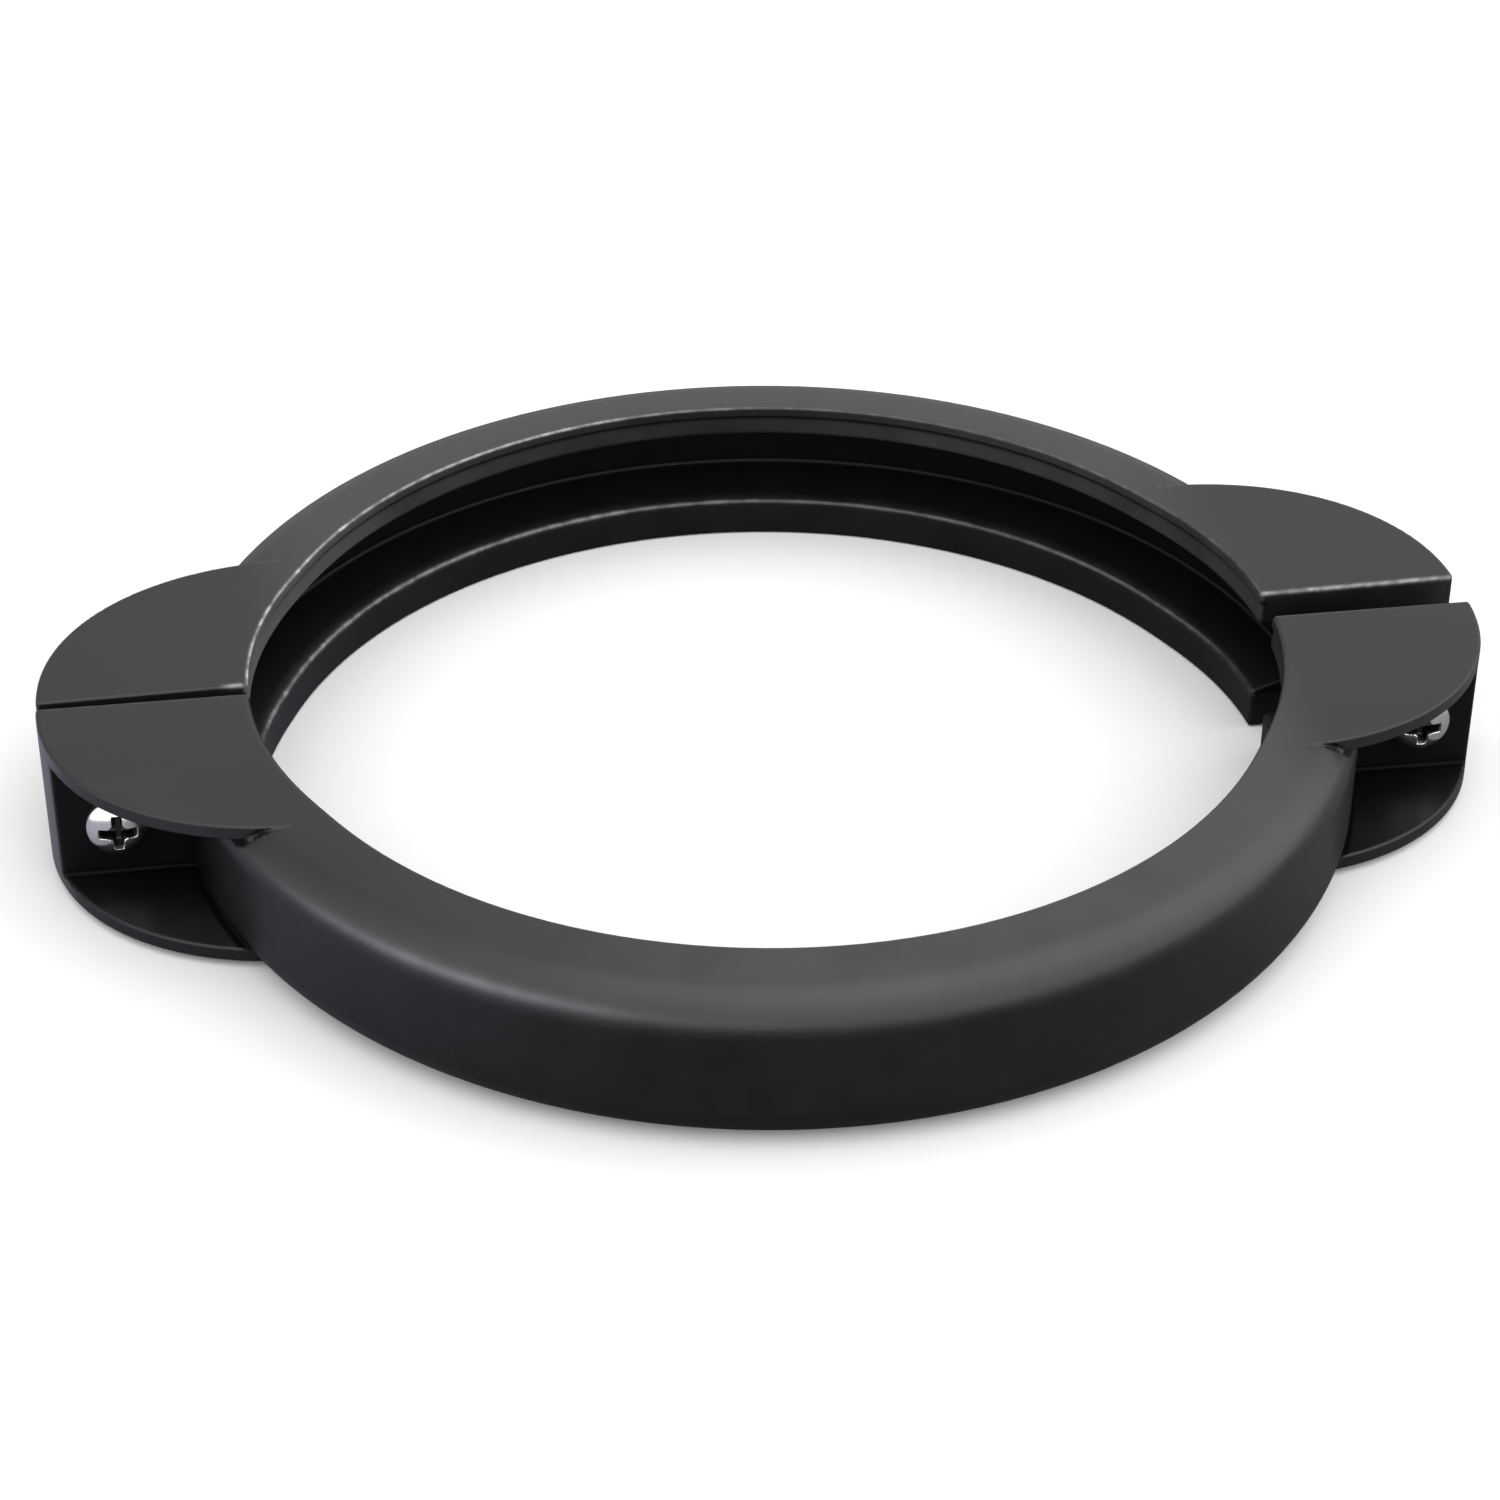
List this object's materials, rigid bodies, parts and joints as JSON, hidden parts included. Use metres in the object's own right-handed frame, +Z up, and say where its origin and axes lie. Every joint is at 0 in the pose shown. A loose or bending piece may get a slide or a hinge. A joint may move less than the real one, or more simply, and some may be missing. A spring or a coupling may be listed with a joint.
{
  "type": "split flange clamp",
  "caption": "Split ring clamp with a wedge-sided groove inside. Screws, nuts and thread caps at its ears draw the half rings together over a pair of round flanges.",
  "frame": {"origin": "centre of the ring on its bottom face, which is also the bottom centre of the clamp's box", "axes": "+X runs from the left ears to the right ears, +Y from the half with the screw heads to the half with the nuts, +Z up along the ring's axis"},
  "size_m": [0.2866, 0.2344, 0.0322],
  "materials": {
    "moulded_plastic": "satin moulded charcoal-black plastic",
    "bright_steel": "bright nickel-plated steel",
    "vinyl": "glossy soft black vinyl"
  },
  "bodies": {
    "front_half": {"front_half": "moulded_plastic"},
    "left_nut": {"left_nut": "bright_steel"},
    "rear_half": {"rear_half": "moulded_plastic", "right_nut": "bright_steel"},
    "left_screw": {"left_screw": "bright_steel"},
    "right_screw": {"right_screw": "bright_steel"},
    "left_cap": {"left_cap": "vinyl"},
    "right_cap": {"right_cap": "vinyl"}
  },
  "joints": [
    {"name": "left_draw_in", "type": "hinge", "parent": "front_half", "child": "left_nut", "pos_m": [0.129, 0.02283, 0.0161], "axis": [0, 0, 1], "range_deg": [0, 0.3775]},
    {"name": "right_draw_in", "type": "hinge", "parent": "left_nut", "child": "rear_half", "pos_m": [-0.129, 0.01608, 0.0161], "axis": [0, 0, -1], "range_deg": [0, 1.89]},
    {"name": "left_screw_turn", "type": "hinge", "parent": "front_half", "child": "left_screw", "pos_m": [-0.129, 0, 0.0161], "axis": [0, 1, 0], "range_deg": [0, 613]},
    {"name": "right_screw_turn", "type": "hinge", "parent": "front_half", "child": "right_screw", "pos_m": [0.129, 0, 0.0161], "axis": [0, 1, 0], "range_deg": [0, 3062]},
    {"name": "left_cap_pull", "type": "slide", "parent": "left_screw", "child": "left_cap", "axis": [0, 1, 0], "range_m": [0, 0.02]},
    {"name": "right_cap_pull", "type": "slide", "parent": "right_screw", "child": "right_cap", "axis": [0, 1, 0], "range_m": [0, 0.02]}
  ],
  "couplings": [
    {"joint": "left_screw_turn", "follows": "left_draw_in", "ratio": 1621.1},
    {"joint": "right_screw_turn", "follows": "right_draw_in", "ratio": 1621.1}
  ]
}
